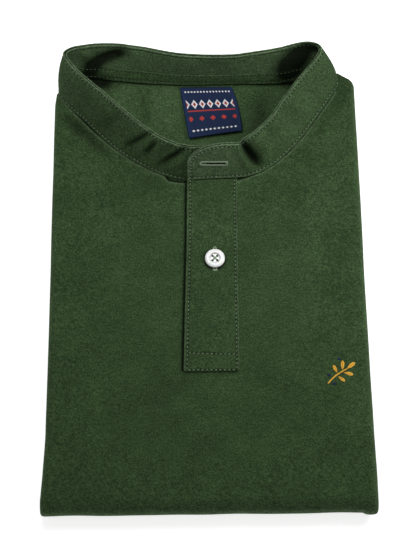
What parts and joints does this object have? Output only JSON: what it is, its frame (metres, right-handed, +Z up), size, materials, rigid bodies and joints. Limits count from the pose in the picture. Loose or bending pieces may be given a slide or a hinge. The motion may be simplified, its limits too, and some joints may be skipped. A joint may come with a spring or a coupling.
{
  "type": "folded band collar shirt",
  "caption": "Folded pullover shirt in smooth jersey: stand collar, overlapping button placket, neck tape and label, lying flat with its front up.",
  "frame": {"origin": "on the packet's centre line, in the plane that it lies on", "axes": "+X to the right of the packet as worn side up, +Y from the cross fold at the foot to the collar, +Z up through the layers"},
  "size_m": [0.2219, 0.3395, 0.05],
  "materials": {
    "jersey": "dark green washed cotton jersey, brushed face",
    "jersey_inside": "the same jersey, wrong side",
    "placket_cloth": "the same jersey, faced and pressed",
    "woven_label": "navy damask woven label",
    "button": "polished white four-hole button",
    "thread": "green sewing thread",
    "gold_thread": "gold rayon embroidery thread"
  },
  "bodies": {
    "root": {"front_panel": "jersey", "folded_layers": "jersey", "back_panel": "jersey_inside", "band_outer": "jersey", "band_inner": "jersey_inside", "neck_tape": "jersey_inside", "placket_top": "placket_cloth", "placket_under": "placket_cloth", "neck_label": "woven_label", "chest_button": "button"}
  },
  "joints": []
}
